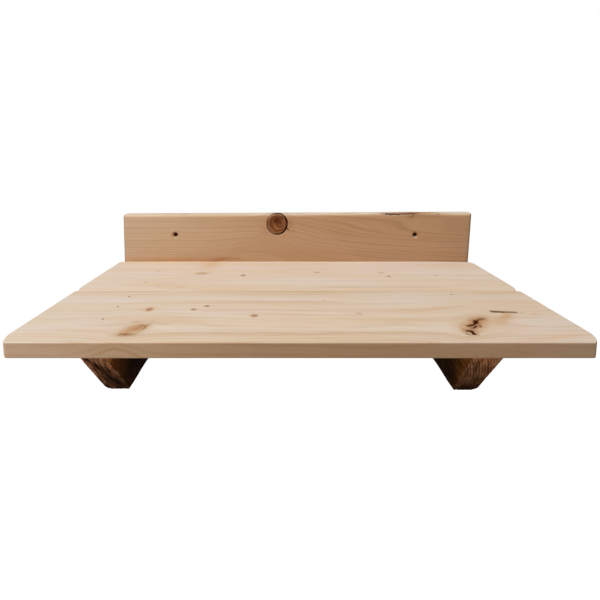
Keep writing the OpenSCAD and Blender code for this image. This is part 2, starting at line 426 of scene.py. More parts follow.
def tinted(colour, tint, factor=1):
    """A colour times a tint, as far as the mask goes."""
    return mixed(factor, colour, tint, "MULTIPLY")


def linear(red, green, blue):
    """A colour read on the 0 to 255 scale of a screen, as a shader takes it."""
    shares = [c / 255 for c in (red, green, blue)]
    return (*[s / 12.92 if s <= 0.04045 else ((s + 0.055) / 1.055) ** 2.4 for s in shares], 1)


nowhere = (0, 0, 0)


@shader_group("Late", "Tone", "Fibre", pith_across=0, pith_under=60, ring_width=3, wander=2, seed=0)
def growth_rings(place, pith_across, pith_under, ring_width, wander, seed):
    """Rings round a pith that runs along x: Late is the dark summer wood, Tone goes from ring to ring."""
    x, y, z = parts_of(place)
    slow = noise_of(vector_of(times_plus(x, 0.008, seed), y * 0.035, z * 0.02))
    sway = (slow - 0.5) * wander
    across, under = y - pith_across, z + pith_under
    radius = maths("SQRT", across * across + under * under) + sway
    uneven = noise_of(vector_of(radius * 0.11, seed, 0), 1)
    ring = radius / ring_width + uneven * 3
    part = maths("FRACT", ring)
    late = step_between(part, 0.30, 0.86) * step_between(part, 1, 0.88)
    number = maths("FLOOR", ring) + seed
    tone = add_node(place.tree, "ShaderNodeTexWhiteNoise", {"W": number}, noise_dimensions="1D")["Value"]
    return late, tone, noise_of(vector_of(times_plus(x, 0.03, seed), y * 1.7, z * 1.7), 3, 0.6)


@shader_group("Reach", "Along", "Across", "Soft",
              centre=nowhere, half_length=8, half_width=6, turn=0, wander=0.2)
def ragged_ellipse(place, centre, half_length, half_width, turn, wander):
    """An ellipse on the wood, turned and a little ragged: Reach is 0 in its middle and 1 on its outline."""
    away = apart(place, centre)
    dx, dy, dz = parts_of(away)
    turned_away = add_node(place.tree, "ShaderNodeVectorRotate",
                           {"Vector": away, "Axis": (0, 0, -1), "Angle": turn}, rotation_type="AXIS_ANGLE")
    u, v, w = parts_of(turned_away[0])
    u, v = u / half_length, v / half_width
    ragged = (noise_of(vector_of(dx * 0.22, dy * 0.22, dz * 0.04), 3, 0.6) - 0.5) * wander
    rho = maths("MAXIMUM", maths("SQRT", u * u + v * v) + ragged, 0)
    return rho, u, v, maths("EXPONENT", rho * rho * -1)


@shader_group("Place", "Core", "Rim", "Halo", "Rings", "Pith", centre=nowhere, half_length=8, half_width=6,
              turn=0, wander=0.2, heart=nowhere, ring_width=0.3, push=1)
def branch_knot(place, centre, half_length, half_width, turn, wander, heart, ring_width, push):
    """A knot: its own rings round an off-centre heart, its rim, and the trunk's grain that flows round it."""
    shape = ragged_ellipse(place, centre=centre, half_length=half_length, half_width=half_width, turn=turn,
                           wander=wander)
    rho, u, v = shape["Reach"], shape["Along"], shape["Across"]
    rim_part = (rho - 1) / 0.14
    heart_x, heart_y, heart_z = parts_of(heart)
    inward = maths("MAXIMUM", 1 - rho, 0)
    from_x, from_y = u - heart_x * inward, v - heart_y * inward
    from_heart = maths("SQRT", from_x * from_x + from_y * from_y)
    wobble = noise_of(vector_of(u * 1.9, v * 1.9, 0.7), 3)
    ring_turn = from_heart / (ring_width * 0.159) + wobble * 9
    spread = maths("MINIMUM", 1 / maths("MAXIMUM", u * u + v * v, 0.02), 1)
    x, y, z = parts_of(place)
    lift = spread * push * (y - parts_of(centre)[1])
    return (vector_of(x, y - lift, z), step_between(rho, 1.04, 0.84),
            maths("EXPONENT", rim_part * rim_part * -1), step_between(rho, 2.2, 0.95),
            times_plus(maths("SINE", ring_turn), 0.5, 0.5), step_between(from_heart, 0.17, 0.08))


@shader_group("Place", centre=nowhere, half_length=40, half_width=20, lift=5)
def grain_swell(place, centre, half_length, half_width, lift):
    """A stretch where the grain swells to one side, as in the arches of a flat-sawn board."""
    dx, dy, dz = parts_of(apart(place, centre))
    u, v = dx / half_length, dy / half_width
    x, y, z = parts_of(place)
    return [vector_of(x, y - maths("EXPONENT", (u * u + v * v) * -1) * lift, z)]


@shader_group("Place", start=0, length=95, fall=30, full_below=36, none_above=75)
def grain_fall(place, start, length, fall, full_below, none_above):
    """A stretch where the grain sinks away to the right, less so high up on the board."""
    x, y, z = parts_of(place)
    run = maths("MAXIMUM", (x - start) / length, 0)
    sunk = (1 - maths("EXPONENT", run * -1)) * fall * step_between(y, none_above, full_below)
    return [vector_of(x, y + sunk, z)]


@shader_group("Mask", across=0, half_width=1, waver=2, start=-300, end=300, seed=0)
def dark_stripe(place, across, half_width, waver, start, end, seed):
    """A single darker ring that runs the length of a board: a wavering stripe at one distance across."""
    x, y, z = parts_of(place)
    bent = noise_of(vector_of(times_plus(x, 0.012, seed), 0, 0))
    off = (y - (across + (bent - 0.5) * waver)) / half_width
    sides = step_between(off, 1, 0.2) * step_between(off, -4, 0)
    ends = step_between(x - start, -25, 25) * step_between(end - x, -25, 25)
    broken = noise_of(vector_of(times_plus(x, 0.03, seed), y * 0.4, 3))
    return [sides * (ends * step_between(broken, 0.25, 0.6, 0.35, 1))]


def millimetres(tree):
    """The place of a point on the whole part, in millimetres."""
    here = add_node(tree, "ShaderNodeTexCoord")["Object"]
    return add_node(tree, "ShaderNodeVectorMath", {0: here, "Scale": 1000}, operation="SCALE")[0]


def board_place(tree, origin, axes):
    """Place in a board's own millimetres: along, across and through it, from a point on its face."""
    parts = parts_of(apart(millimetres(tree), origin))
    picked = [parts["XYZ".index(axis[-1])] for axis in axes]
    return vector_of(*(part * -1 if axis[0] == "-" else part for part, axis in zip(picked, axes)))


def kept(tree, name, output="Fac"):
    """A number or colour that is kept for each mesh point."""
    return add_node(tree, "ShaderNodeAttribute", attribute_name=name)[output]


def facing(tree):
    """The direction that the surface faces."""
    return parts_of(add_node(tree, "ShaderNodeNewGeometry")["Normal"])


def surfaced(colour, rough, plain, bump=None):
    """Ends a material in a Principled surface, with plain values and a (height, strength, distance) bump."""
    inputs = {"Base Color": colour, "Roughness": rough, **plain}
    if bump:
        relief = zip(("Height", "Strength", "Distance"), bump)
        inputs["Normal"] = add_node(colour.tree, "ShaderNodeBump", relief)[0]
    surface = add_node(colour.tree, "ShaderNodeBsdfPrincipled", inputs)[0]
    add_node(colour.tree, "ShaderNodeOutputMaterial", {"Surface": surface})


def planed_wood(name, origin, axes, grain, shades, bends, knots, spots, stripes):
    """Planed and oiled softwood: rings that flow round knots, soft spots, stripes, duller ends, and painted
    shade on the sides.
    """
    material, tree = empty_material(name)
    place = bent = board_place(tree, origin, axes)
    for group, settings in bends:
        bent = group(bent, **settings)["Place"]
    made_knots = []
    for given in knots:
        knot = {"turn": 0, "wander": 0.3, "ring": 0.35, "heart": (0, 0), "push": 0.7, "reach": 1, "pith": None,
                **given}
        shape = dict(centre=(*knot["at"], 0), turn=math.radians(knot["turn"]), wander=knot["wander"],
                     ring_width=knot["ring"], heart=(*knot["heart"], 0), push=knot["push"])
        (long, wide), reach = knot["half"], knot["reach"]
        made_knots.append((knot, branch_knot(place, half_length=long, half_width=wide, **shape)))
        bent = branch_knot(bent, half_length=long * reach, half_width=wide * reach, **shape)["Place"]
    rings = growth_rings(bent, **grain)
    x, y, z = parts_of(place)
    patch = lumps_of(bent, (190, 26, 26), grain["seed"] + 3.3)
    clear = lumps_of(bent, (110, 16, 16), grain["seed"] + 8.1)
    colour = mixed(step_between(patch, 0.36, 0.64), shades["pink"], shades["yellow"])
    toned = rings["Late"] * times_plus(rings["Tone"], 0.65, 0.35)
    toned = toned * step_between(clear, 0.3, 0.7, shades["least_late"], shades["most_late"])
    colour = tinted(colour, shades["late"], toned)
    for across, half_width, waver, start, end, strength, tint in stripes:
        stripe = dark_stripe(bent, across=across, half_width=half_width, waver=waver, start=start, end=end,
                             seed=across * 0.37)
        colour = tinted(colour, (*tint, 1), stripe["Mask"] * strength)
    fibre = step_between(rings["Fibre"], 0.3, 0.7, 0.95, 1.04)
    colour = tinted(colour, vector_of(fibre, fibre, fibre))
    for at, half, turn, strength, tint in spots:
        spot = ragged_ellipse(place, centre=(*at, 0), half_length=half[0], half_width=half[1],
                              turn=math.radians(turn), wander=0.7)
        colour = tinted(colour, (*tint, 1), spot["Soft"] * strength)
    painted = kept(tree, "tint", "Color")
    for knot, made in made_knots:
        (halo, halo_share), (rim, rim_share), (*cores, core_share) = knot["halo"], knot["rim"], knot["core"]
        colour = mixed(made["Halo"] * halo_share, colour, linear(*halo))
        heart = mixed(made["Rings"], *(linear(*core) for core in cores))
        if knot["pith"]:
            heart = mixed(made["Pith"], heart, linear(*knot["pith"]))
        colour = mixed(made["Core"] * core_share, colour, heart)
        colour = mixed(made["Rim"] * rim_share, colour, linear(*rim))
    colour = tinted(colour, painted)
    # painted shade: faces that don't look up are darkened and warmed, as the top takes more light; the tint
    # darkens to the right as painted shade of light falling off, with a real shift in tone as well
    face_x, face_y, face_z = facing(tree)
    side = mixed(step_between(x, *shades["side_shade_from_to"]), shades["side"], shades["side_shade_far"])
    colour = tinted(colour, side, step_between(face_z, 0.85, 0.25))
    end = step_between(maths("ABSOLUTE", face_x), 0.55, 0.95)
    pores = lumps_of(place, (2, 0.7, 0.7), 4)
    colour = tinted(colour, (0.66, 0.60, 0.54, 1), end * step_between(pores, 0.25, 0.6, 0.75, 1))
    colour = tinted(colour, shades["stain"], kept(tree, "stain"))
    # the kept dark mark is real bark and dark knot wood, and also painted shade inside the drying crack and
    # the wall holes
    bark_and_shade_mask = kept(tree, "bark_and_shade")
    colour = mixed(bark_and_shade_mask, colour, shades["bark_and_shade"])
    rough = times_plus(bark_and_shade_mask, 0.3, times_plus(rings["Fibre"], 0.18, 0.5))
    relief = rings["Fibre"] * 0.5 + rings["Late"] * 0.35
    surfaced(colour, rough, {"Specular IOR Level": 0.02}, (relief, 0.3, 0.0002))
    return material


board_low, board_high = corners("back_board")
plank_low, plank_high = corners("front_plank")
# marks on the board and on the deck are placed from a line a little right of the deck's middle
marks_right = 0.5
deck_mid = (plank_low[0] + plank_high[0]) / 2 + marks_right
deck_top, deck_front = plank_high[2], plank_low[1]
board_knot = (-26.9, 54.2, 14.2, 15)
bark_edge = [(121, 68.8, 133, 68, 1.2, 0.2), (127, 68, 146, 67.4, 1.7, 0.5),
             (146, 68.4, 168, 68.2, 1.6, 0.36), (158, 62.4, 163, 63.4, 1, 0.18),
             (163, 63.4, 167, 67.4, 0.9, 0.28), (168, 69, 174, 69.2, 1.2, 0.24),
             (160, 58, 163, 57.6, 0.8, 0.12), (200.6, 67.2, 201.8, 67.2, 1, 0.4)]


def board_marks(points):
    """Depth and strength of the bark ring of the knot and of the bark on the top edge, seen from the front."""
    across, depth_in = points[:, 0] - deck_mid, points[:, 1] - board_low[1]
    height = points[:, 2] - deck_top + 0.12 * np.clip(depth_in, 0, None)
    shift = 0.7 * soft_noise(points, (5, 9, 5), 11)
    dx, dz = (across - board_knot[0]) / board_knot[2], (height - board_knot[1]) / board_knot[3]
    angle = np.arctan2(dz, dx)
    off = (np.hypot(dx, dz) - 1) * board_knot[3] + shift * 0.5
    thick = 1 + 0.6 * fade(np.cos(angle + 0.35), 1, -0.2) - 0.5 * fade(np.cos(angle - 2.3), 1, 0.7)
    ring = fade(np.abs(off), thick * 0.5, thick * 1.15)
    deep, strong = stroke_marks(np.column_stack([across + shift * 1.3, height + 0.8 * shift]), bark_edge)
    reach = fade(depth_in, 8, 14)
    notch_deep, notch = stroke_marks(np.column_stack([across, height]), [(-12.6, 47.4, -11.2, 46, 1.5, 1)])
    browner = 1 - 0.30 * fade(-np.cos(angle), 0.9, -0.3)
    return (np.maximum.reduce([ring * 0.9, deep * reach, notch_deep]),
            np.maximum.reduce([ring * browner, strong * reach, notch * 0.8]))


finer = ([(deck_mid - 45, deck_mid - 8, 0.5), (deck_mid + 118, deck_mid + 206, 0.6)], [],
         [(deck_top + 36, deck_top + 66, 0.5)])
stood, quads = rounded_block("back_board", (3, 2, 4), finer, 5.3, [[3.4, 3.4], [3.4, 3.4]], (0, 2, 1))
# the top edge drops a little to the left
top_left, top_rise, drop_from, drop_run = 67.5, 2.5, 66, 60
along = (stood[:, 0] - board_low[0]) / (board_high[0] - board_low[0])
top_line = top_left + top_rise * along
drop = (board_high[2] - deck_top) - top_line
stood[:, 2] -= drop * np.clip((stood[:, 2] - board_high[2] + drop_from) / drop_run, 0, 1)
# its ends lean: the right one out and the left one in toward the top
lean_run, left_lean, left_foot, right_lean, right_foot = 67, 0.65, 0.6, 2.1, 1.3
up = np.clip((stood[:, 2] - deck_top) / lean_run, 0, 1)
stood[:, 0] += (left_lean * up - left_foot) * (1 - along) + (right_lean * up - right_foot) * along
deep, strong = board_marks(stood)
stood[:, 1] += deep * fade(stood[:, 1] - board_low[1], 1.5, 4)
top = fade(deck_top + top_line - stood[:, 2], 2.5, 5)
stood[:, 2] -= 0.35 * deep * top
wear = 0.12 + 0.12 * soft_noise(stood, (40, 30, 30), 5)
stood[:, 2] -= top * wear * fade(stood[:, 1] - board_low[1], 0, 12)
beyond = [0.7, 0, 0]
board = solid_object("back_board_wood", np.clip(stood, board_low - beyond, board_high + beyond), quads)
# the two wall holes, with torn fibres left round their mouths in the back face, and the screw holes
for mount in frame["record"]["mounts"]:
    if mount["name"] == "wall_screws":
        pitch, bore = mount["dims"]["spacing_x_mm"], mount["dims"]["hole_r_mm"]
face_y, torn_r, sink_r, screw_bore, screw_sink = board_low[1], 1.75, 5, 2.3, 4.55
wall_steps = [(5.4, face_y - 1), (sink_r, face_y), (3.75, face_y + 1.3), (bore, face_y + 2.6), (bore, -2.5),
              (torn_r, -0.5), (torn_r, 1)]
screw_steps = [(screw_bore, face_y - 1), (screw_bore, -3), (screw_sink, -0.15), (screw_sink, 1)]
board_bores = [hole(wall_steps, (side * pitch / 2, 0, 0), (0, 1, 0)) for side in (-1, 1)]
screws = [f"{side}_bracket_screw_{level}" for side in ("left", "right") for level in ("upper", "lower")]
for node in screws:
    middle = np.mean(corners(node), 0)
    board_bores.append(hole(screw_steps, (middle[0], 0, middle[2]), (0, 1, 0)))
bored(board, board_bores)
at = mesh_points(board)
# painted shade: the walls of the two wall holes are darkened with the bark colour, more so deeper in
in_hole = (np.hypot(np.abs(at[:, 0]) - pitch / 2, at[:, 2]) < 4.2) & (at[:, 1] < -0.4)
mark(board, "bark_and_shade", np.maximum(board_marks(at)[1], 0.42 * in_hole * fade(at[:, 1] - face_y, 2.6, 0.9)))
paint(board, at[:, [0, 2]] - [deck_mid, deck_top],
      [((-27.4, 59.8), (6, 5.6), 15, 0.95, (0.42, 0.33, 0.25)),
       ((-19.9, 63), (2, 1.8), 0, 0.8, (0.5, 0.42, 0.36)),
       ((-29.4, 50.4), (4.5, 2), -30, 0.8, (1.4, 1.4, 1.35)), ((-34, 57), (4, 7), 10, 0.5, (0.8, 0.66, 0.5)),
       ((-23.2, 56.1), (3, 3), 0, 0.9, (0.52, 0.42, 0.34)),
       ((-23.2, 56.1), (1.3, 1.3), 0, 1, (2.6, 2.5, 2.4)), ((-17.6, 56), (3.2, 8), 8, 0.8, (1.3, 1.36, 1.5)),
       ((-31, 64.5), (8, 2.4), 20, 0.7, (1.22, 1.26, 1.34)),
       ((-28, 45.5), (8, 3.4), -20, 0.8, (1.35, 1.32, 1.25)),
       ((-33, 49), (5, 2.2), -40, 0.6, (0.74, 0.66, 0.56)),
       ((-27, 69.2), (9, 1.7), 0, 0.9, (0.5, 0.47, 0.44)),
       ((140, 68.2), (22, 1.6), 0, 0.9, (0.6, 0.42, 0.28)),
       ((162, 68.8), (12, 1.5), 0, 0.85, (0.66, 0.49, 0.36)),
       ((163, 65), (5, 4), 0, 0.7, (0.88, 0.78, 0.66)), ((190, 69), (22, 1.2), 0, 0.5, (0.88, 0.78, 0.68)),
       # painted light and sheen: the top edge of the board is made paler and bluer
       ((-40, 70.6), (300, 2.8), 0, 0.9, (0.95, 1.06, 1.17)),
       ((215, 70.6), (45, 2.8), 0, 0.8, (1, 1.08, 1.12)),
       # painted shade: the rounded ends of the board are greyer and darker
       ((-245.4, 30), (2, 60), 0, 0.95, (0.68, 0.72, 0.78)),
       ((248.6, 30), (2, 60), 0, 0.9, (0.82, 0.86, 0.84)),
       # painted shade: the foot of the board darkens where it meets the deck, and the two wall holes take a
       # warm painted shade
       ((-160, 9), (140, 13), 0, 0.95, (0.9, 0.875, 0.84)),
       ((150, 9), (140, 12), 0, 0.7, (0.95, 0.95, 0.91)), ((-171, 38.5), (3, 3), 0, 1, (0.8, 0.46, 0.2)),
       ((169, 38.5), (3, 3), 0, 1, (0.8, 0.46, 0.2))])
# the side tints are painted shade on the board's faces that don't look up, darker and more orange toward the
# right
board_shades = {
    "pink": linear(226, 201, 178), "yellow": linear(222, 196, 168), "late": (0.72, 0.63, 0.53, 1),
    "least_late": 0.35, "most_late": 1, "side": (0.891, 0.813, 0.724, 1),
    "side_shade_far": (0.758, 0.592, 0.462, 1), "side_shade_from_to": (-240, 60), "stain": (0.7, 0.55, 0.4, 1),
    "bark_and_shade": linear(52, 15, 0)}
board_wood = planed_wood(
    "planed_softwood_back_board", (deck_mid, face_y, deck_top), ("X", "Z", "-Y"),
    dict(pith_across=-90, pith_under=30, ring_width=2.5, wander=3, seed=4), board_shades,
    [(grain_swell, dict(centre=(-56, 0, 0), half_length=40, half_width=36, lift=17)),
     (grain_fall, dict(start=-20, length=95, fall=31, full_below=34, none_above=74))],
    [dict(at=board_knot[:2], half=board_knot[2:], wander=0.06, ring=0.3, heart=(0.44, 0.2), push=0.5,
          core=((160, 115, 82), (124, 80, 49), 0.98), rim=((70, 34, 18), 0), halo=((196, 146, 104), 0.12),
          pith=(130, 84, 54))],
    [((-8.5, 54), (4, 6), 10, 0.5, (0.78, 0.66, 0.5)), ((-46, 47), (5, 9), 0, 0.5, (0.95, 0.86, 0.8)),
     ((-13, 35), (8, 3), 0, 0.5, (1.08, 1.02, 0.88)), ((-107, 3.2), (15, 2.6), 3, 0.85, (0.86, 0.66, 0.56)),
     ((-84, 3.6), (7, 1.6), -4, 0.6, (0.84, 0.66, 0.52)), ((-175, 2.2), (82, 4), 0, 0.9, (0.9, 0.71, 0.55)),
     ((178, 70), (28, 5), 0, 0.95, (0.7, 0.54, 0.4)), ((236, 66), (30, 2.2), 0, 0.7, (1.12, 1.16, 1.2)),
     ((200, 10), (60, 6), -3, 0.5, (0.95, 0.88, 0.78))], [])
finished(board, board_wood, "back_board")


# Bracket beams: two rough-sawn beams under the deck, stained dark brown, butted against the back
# board and held by its screws. Each is sawn off at a slope in front, and its lower outer edge is waney.
beam_half_w, wane_w, wane_h, shank_bore = 12, 5.5, 4.5, 0.96
beam_looks = {
    "left_bracket": {
        "outer": -1, "skew": (0, 0, 1), "lift": 1, "seed": 21, "ragged": 0.25, "pith": (150, 38),
        "ring": 4.2, "streaks": 1, "rings": 0.6, "fold_highlight": 0.8,
        "spots": [((12, -3), (14, 14), 15, 1, (3.9, 3.95, 4.05)),
                  ((4.5, -11), (3, 9), 14, 0.95, (0.3, 0.22, 0.17)),
                  ((3, -44), (4.5, 30), 6, 0.9, (2.1, 1.95, 1.85)),
                  ((9.5, -25), (2.6, 10), 20, 0.85, (0.36, 0.28, 0.22)),
                  ((15.4, -50), (5, 20), 13, 0.97, (0.15, 0.11, 0.08)),
                  ((20.4, -26), (2, 12), 5, 0.8, (1.7, 1.6, 1.45)),
                  ((12, -71), (16, 3), 0, 0.9, (0.2, 0.15, 0.1))]},
    "right_bracket": {
        "outer": 1, "skew": (0.42, 0, 0.98), "lift": 0, "seed": 34, "ragged": 0.6, "pith": (-82, 60),
        "ring": 2.2, "streaks": 0.3, "rings": 0.82, "fold_highlight": 0,
        "spots": [((15, -32), (1.6, 12), -14, 0.9, (0.25, 0.2, 0.15)),
                  ((8, -14), (11, 22), 0, 0.9, (1.4, 1.34, 1.28)),
                  ((18, -10), (7, 18), 0, 0.9, (1.95, 1.8, 1.65)),
                  ((1, -30), (4, 22), 0, 0.8, (1.5, 1.45, 1.4)),
                  ((12, -67), (9, 6), 0, 0.8, (0.3, 0.25, 0.2)),
                  ((12, -71), (16, 3), 0, 0.9, (0.2, 0.15, 0.1))]}}


def cut_line(points, low, high, outer_x, skew):
    """How far back the sloping cut lies: more lower down by the slope, and more inward by the skew."""
    up = (points[:, 2] - low[2]) / (high[2] - low[2])
    at_top, at_bottom, slope = skew
    inward = np.abs(outer_x - points[:, 0])
    return low[1] + slope * (high[2] - points[:, 2]) + (at_bottom + (at_top - at_bottom) * up) * inward


def stained_beam(name, origin, look):
    """Rough-sawn softwood under a dark stain: raised summer rings, torn fibres, saw marks, painted shade on
    the flanks and a painted highlight along one edge of the cut.
    """
    material, tree = empty_material(name)
    place = board_place(tree, origin, ("Y", "X", "Z"))
    seed = look["seed"]
    rings = growth_rings(place, pith_across=look["pith"][0], pith_under=look["pith"][1],
                         ring_width=look["ring"], wander=3, seed=seed)
    back, across, up = parts_of(place)
    end_cut = step_between(facing(tree)[1] * -1, 0.25, 0.6)
    blotch = lumps_of(place, (22, 6, 16), seed + 1.7, 3, 0.6)
    torn = lumps_of(place, (20, 1.1, 20), seed + 9, 3, 0.6)
    saw = lumps_of(place, (1.3, 40, 9), seed + 5)
    # the flanks are darker than the sloping cut: partly the stain, partly painted shade of faces turned away
    # from the light
    flank = mixed(step_between(blotch, 0.35, 0.7), linear(62, 34, 9), linear(94, 58, 21))
    flank = mixed(rings["Late"] * 0.6, flank, linear(28, 12, 3))
    # painted shade: the flanks darken farther back under the deck
    flank = tinted(flank, (0.30, 0.26, 0.20, 1), step_between(back, 45, 240))
    cut = mixed(step_between(blotch, 0.36, 0.62), linear(110, 70, 43), linear(156, 108, 74))
    cut = mixed(step_between(torn, 0.58, 0.38) * look["streaks"], cut, linear(40, 18, 7))
    cut = mixed(rings["Late"] * look["rings"] * times_plus(rings["Tone"], 0.4, 0.6), cut, linear(34, 14, 4))
    cut = tinted(cut, (0.36, 0.30, 0.24, 1), step_between(up, -30, -71))
    # painted highlight: a lighter streak along the edge where the cut meets the inner flank
    colour = mixed(kept(tree, "fold_highlight"), mixed(end_cut, flank, cut), linear(140, 104, 62))
    colour = tinted(colour, kept(tree, "tint", "Color"))
    surfaced(colour, times_plus(blotch, 0.15, 0.8), {"Specular IOR Level": 0.01},
             (rings["Fibre"] * 0.7 + saw * 0.8, 0.7, 0.0006))
    return material


for node, look in beam_looks.items():
    low, high = corners(node)
    outer, seed = look["outer"], look["seed"]
    middle_x, run = (low[0] + high[0]) / 2, high[2] - low[2]
    outer_x, inner_x = middle_x + outer * beam_half_w, middle_x - outer * beam_half_w
    skin, quads = rounded_block(node, (0.6, 2.2, 0.8), ([], [], []), 0.8, [[0.9, 0.9], [0.9, 0.9]], (1, 0, 2))
    skin[:, 2] += look["lift"] * (high[2] - skin[:, 2]) / run
    front_y = cut_line(skin, low, high, outer_x, look["skew"])
    share = (skin[:, 1] - low[1]) / (high[1] - low[1])
    skin[:, 1] = front_y + share * (high[1] - front_y)
    # the waney lower outer edge and the rubbed lower inner edge
    from_outer, from_low = np.abs(skin[:, 0] - outer_x), skin[:, 2] - low[2] - look["lift"]
    waver = 1 + 0.15 * soft_noise(skin, (6, 30, 6), seed)
    missing = 1 - (from_outer / (wane_w * waver) + from_low / (wane_h * waver))
    skin += np.clip(missing, 0, None)[:, None] * np.array([-outer * 2.5, 0, 2])
    from_inner, from_low = np.abs(skin[:, 0] - inner_x), skin[:, 2] - low[2] - look["lift"]
    rub_r = 1.5 + 3.4 * fade(skin[:, 1] - low[1], 130, 78) * fade(skin[:, 1] - high[1], -90, -20)
    in_x, in_z = np.clip(rub_r - from_inner, 0, None), np.clip(rub_r - from_low, 0, None)
    rub = 1 - np.minimum(1, rub_r / np.maximum(np.hypot(in_x, in_z), 1e-9))
    skin[:, 0] += outer * in_x * rub
    skin[:, 2] += in_z * rub
    # raised summer rings on the cut, saw marks along the flanks, a splintered lower front edge
    ring_r = np.hypot(skin[:, 0] - middle_x - look["pith"][0], skin[:, 2] - high[2] + look["pith"][1])
    raised = np.sin(ring_r * 2 * math.pi / look["ring"] + 2 * soft_noise(skin, (9, 60, 9), seed + 1))
    cut_face = fade(share, 0, 0.004)
    skin[:, 1] += cut_face * (0.35 + 0.25 * raised + 0.25 * soft_noise(skin, (0.9, 3, 1.2), seed + 2))
    flank = fade(np.abs(skin[:, 0] - middle_x), beam_half_w - 0.3, beam_half_w - 1.2) * (1 - cut_face)
    kerf = soft_noise(skin, (50, 1.6, 14), seed + 3)
    skin[:, 0] -= 0.45 * outer * fade(np.abs(skin[:, 0] - outer_x), 0.6, 3.5)
    side = np.sign(skin[:, 0] - middle_x)
    skin[:, 0] -= side * flank * (0.2 + 0.05 * outer * side + 0.14 * kerf)
    tooth = np.clip(soft_noise(skin, (1.3, 400, 400), seed + 4), 0, 1) * fade(from_low, 0.5, 3)
    tooth *= fade(skin[:, 1] - front_y, 6, 16) * fade(from_inner, 9, 13)
    skin[:, 2] += look["ragged"] * 1.6 * tooth
    beam = solid_object(node + "_wood", np.clip(skin, low, high), quads)
    bores = []
    for other in frame["nodes"]:
        tip, middle = corners(other)[0], np.mean(corners(other), 0)
        if other.startswith(node.split("_")[0] + "_nail"):
            steps = [(0.1, tip[2] - 0.1), (shank_bore, tip[2] + 4), (shank_bore, high[2] + 1)]
            bores.append(hole(steps, (middle[0], middle[1], 0), (0, 0, 1), 16))
        if other.startswith(node + "_screw"):
            steps = [(screw_bore, tip[1] - 0.1), (screw_bore, high[1] + 1)]
            bores.append(hole(steps, (middle[0], 0, middle[2]), (0, 1, 0), 24))
    bored(beam, bores)
    at = mesh_points(beam)
    # painted highlight along the edge of the cut and the inner flank, broken into patches; the left beam has
    # it, the right one not
    edge = fade(np.abs(np.abs(at[:, 0] - middle_x) - beam_half_w), 0.1, 1.2)
    on_cut = fade(np.abs(at[:, 1] - cut_line(at, low, high, outer_x, look["skew"]) - 0.4), 0.4, 1.6)
    inner = fade(np.abs(at[:, 0] - inner_x), 1, 2.4)
    patches = fade(soft_noise(at, (4, 12, 7), seed + 6), 0.35, -0.35)
    mark(beam, "fold_highlight", look["fold_highlight"] * edge * on_cut * inner * patches)
    # painted light and shade: the inner flank is lit toward its front and in shade farther in
    painted_flank_light = 0.3 + 7 * np.exp(-((at[:, 1] - low[1]) / 38) ** 2)
    flat = np.column_stack([np.abs(at[:, 0] - outer_x), at[:, 2] - high[2]])
    paint(beam, flat + 0.6 * soft_noise(at, (3, 9, 5), 8)[:, None], look["spots"],
          1 + inner * (1 - on_cut) * (painted_flank_light - 1))
    stained_wood = stained_beam("dark_stained_" + node, (middle_x, low[1], high[2]), look)
    finished(beam, stained_wood, node, sharp=50)


# Front plank: the front half of the deck, planed and oiled, its front corners swept back.
# It has a sound knot at the left, a broken knot with pits over the right beam, pin knots, and a
# short drying crack, and it is nailed down through both beams.
plank_t, sweep_r, arris_r, end_lean, head_bore, mouth_bore = 14, 40, 3.5, 1.4, 1.26, 1.45
broken_knot = [(159.2, 45.6, 161.6, 51.8, 3.4, 0.62), (166.2, 55.6, 170.6, 57.6, 3.2, 0.32),
               (162.6, 52, 166, 55.4, 2, 0.45), (150, 38.4, 156.4, 42.6, 2.2, 0.9),
               (156.4, 42.6, 159.4, 46, 1.8, 0.9), (153.4, 33.8, 157.2, 39, 1.5, 0.7),
               (151.2, 33.2, 153.4, 33.8, 1.6, 0.7), (160.7, 40.4, 160, 35.6, 1.4, 0.42),
               (145.8, 26.6, 148, 26.6, 3.3, 1), (148, 24, 147.9, 18.4, 2.2, 0.7),
               (141.8, 20.2, 143.2, 17, 1.6, 0.3)]
drying_crack = [(188.4, 78.6, 198, 77.6, 3.9, 0.6), (198, 77.6, 209.4, 76.3, 3.6, 0.48),
                (210.2, 76.3, 218, 75.9, 1.6, 0.16)]


def swept(points, low, high, runs):
    """Moves the ends of a plank in at its two front corners, along arcs that run back by runs."""
    middle, half = (low[0] + high[0]) / 2, (high[0] - low[0]) / 2
    for side, run in zip((-1, 1), runs):
        before = np.clip(run - points[:, 1] + low[1], 0, None)
        inward = sweep_r - np.sqrt(sweep_r ** 2 - before ** 2)
        outward = side * (points[:, 0] - middle)
        points[:, 0] -= side * inward * np.clip((outward - half + sweep_r) / sweep_r, 0, 1)
    return points


def plank_marks(points, strokes, wobble, seed):
    """Depth and strength of strokes on the top of the front plank, in its own millimetres."""
    shift = [soft_noise(points, (2.2, 2.2, 9), seed + more) for more in (0, 1)]
    flat = points[:, :2] - [deck_mid, deck_front] + wobble * np.column_stack(shift)
    deep, strong = stroke_marks(flat, strokes)
    top = fade(plank_high[2] - points[:, 2], 1.8, 3.5)
    return deep * top, strong * top


def nail_bores(plank_node):
    """Holes of the nails through a plank, open above their heads but for the one in the broken knot."""
    low, high = corners(plank_node)
    holes = []
    for node in frame["nodes"]:
        middle, head_top = np.mean(corners(node), 0), corners(node)[1][2]
        if "_nail_" in node and low[1] < middle[1] < high[1]:
            above = [(head_bore, high[2] - 0.25), (mouth_bore, high[2] + 0.2)]
            if node == "right_nail_1":
                above = [(head_bore, head_top + 0.05)]
            head_low = head_top - 1.05
            steps = [(shank_bore, low[2] - 1), (shank_bore, head_low), (head_bore, head_low), *above]
            holes.append(hole(steps, (middle[0], middle[1], 0), (0, 0, 1), 24))
    return holes


